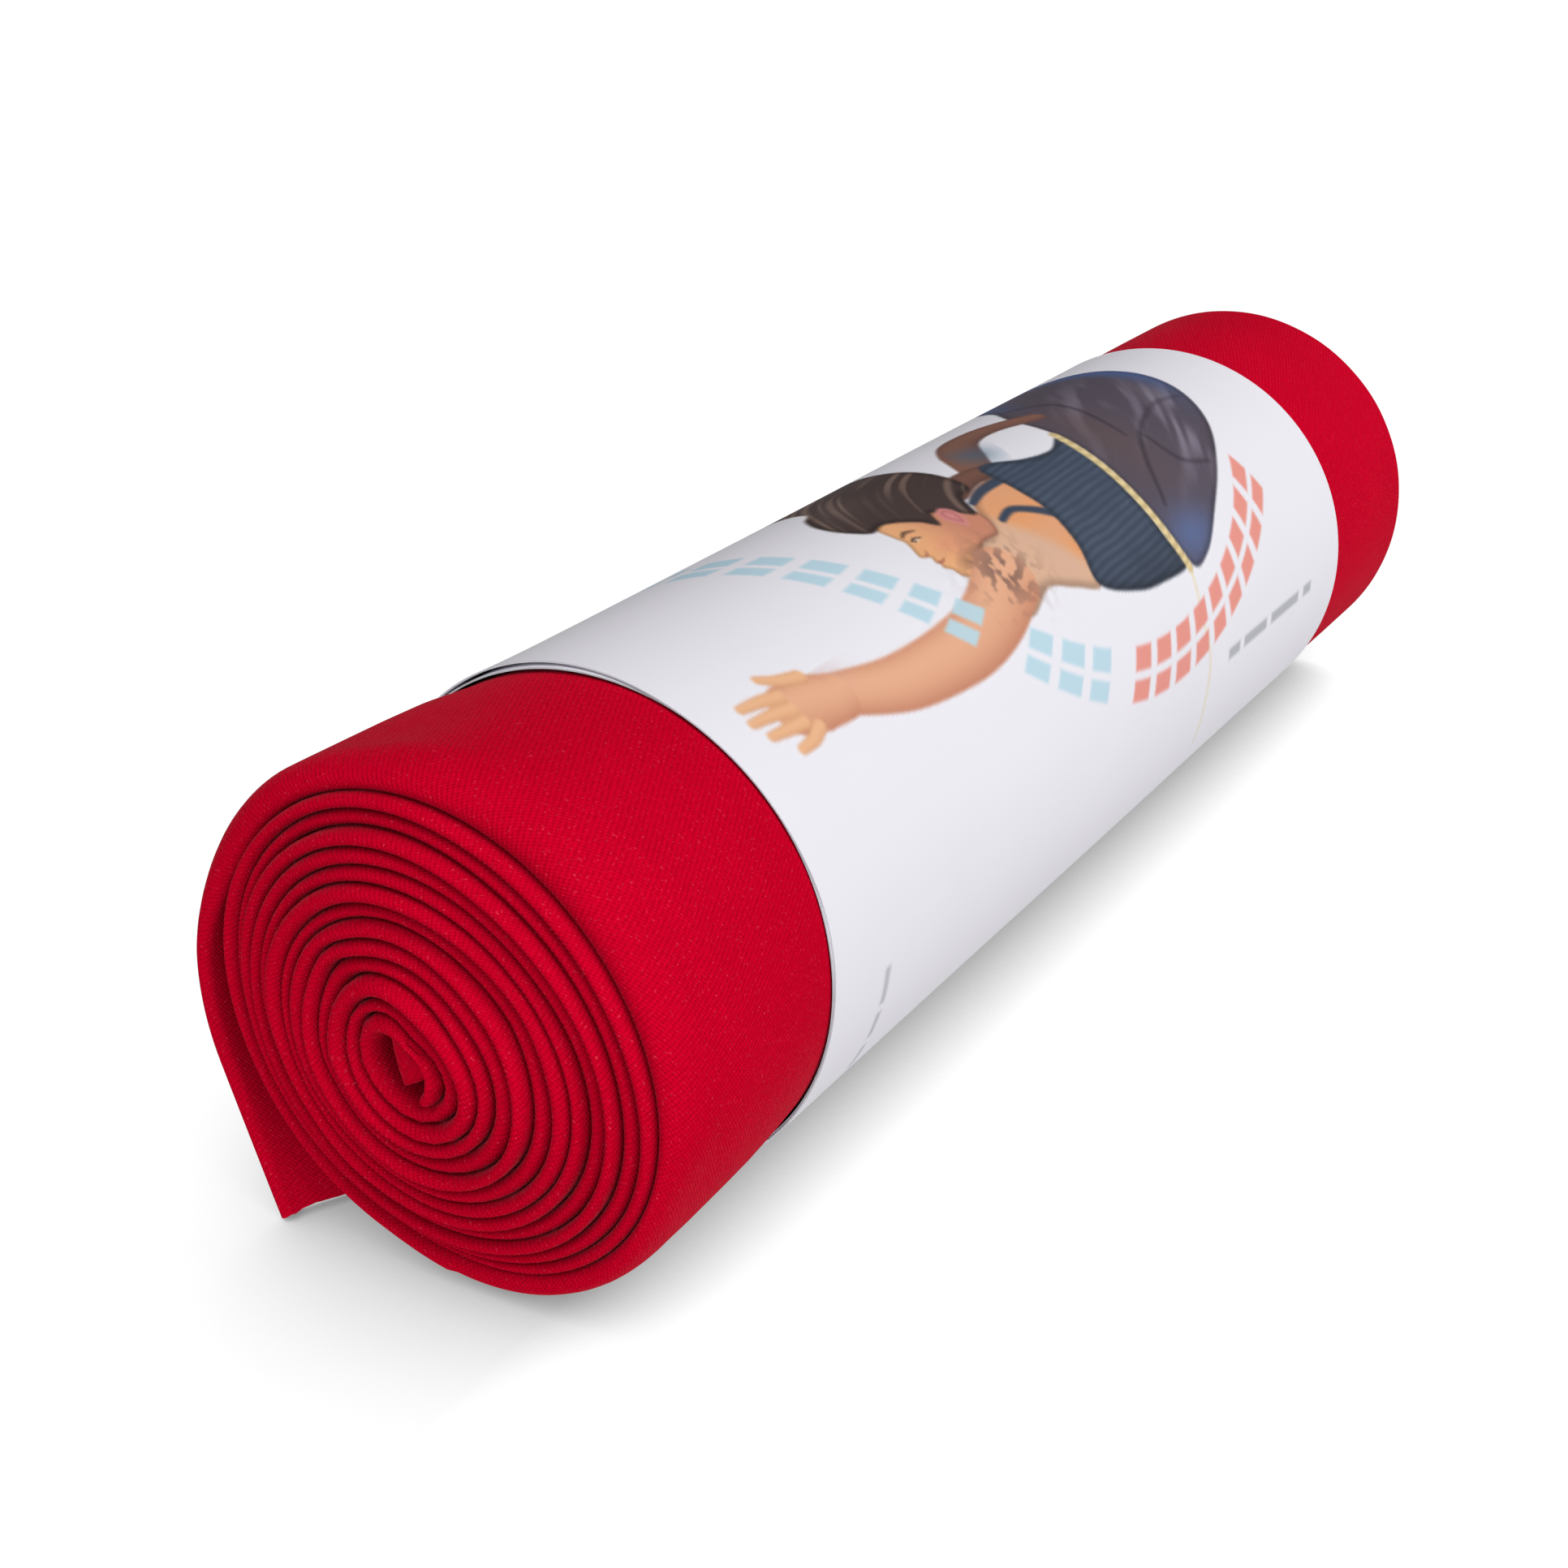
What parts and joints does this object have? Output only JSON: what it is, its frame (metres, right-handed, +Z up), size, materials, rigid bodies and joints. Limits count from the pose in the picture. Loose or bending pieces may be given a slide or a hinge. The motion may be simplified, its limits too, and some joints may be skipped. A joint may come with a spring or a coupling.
{
  "type": "rolled stretch band in a paper sleeve",
  "caption": "Long band of soft red knit, doubled and rolled up, with a loose corner at one end and a white printed paper sleeve that slides off.",
  "frame": {"origin": "middle of the underside of the whole object, on the surface that it lies on", "axes": "+X runs along the roll from its end of rounded folds to its far end, +Y points to the side with the loose corner, +Z is up"},
  "size_m": [0.2092, 0.0584, 0.0556],
  "materials": {
    "cloth": "soft matt stretch knit with a fine pale fuzz",
    "printed_paper": "smooth uncoated white paper with a printed picture and colour blocks",
    "plain_paper": "smooth uncoated white paper",
    "glue": "dried clear glue"
  },
  "bodies": {
    "roll": {"band_core": "cloth", "band_turns": "cloth", "band_outer_turn": "cloth"},
    "corner": {"band_loose_corner": "cloth"},
    "sleeve": {"sleeve_outer_leaf": "printed_paper", "sleeve_inner_leaf": "plain_paper", "sleeve_fold": "plain_paper", "glue_spots": "glue"}
  },
  "joints": [
    {"name": "sleeve_slide", "type": "slide", "parent": "roll", "child": "sleeve", "axis": [1, 0, 0], "range_m": [0, 0.18]},
    {"name": "corner_lift", "type": "hinge", "parent": "roll", "child": "corner", "pos_m": [-0.08895, 0.0205, 0.04546], "axis": [1, 0, 0], "range_deg": [0, 20]}
  ]
}
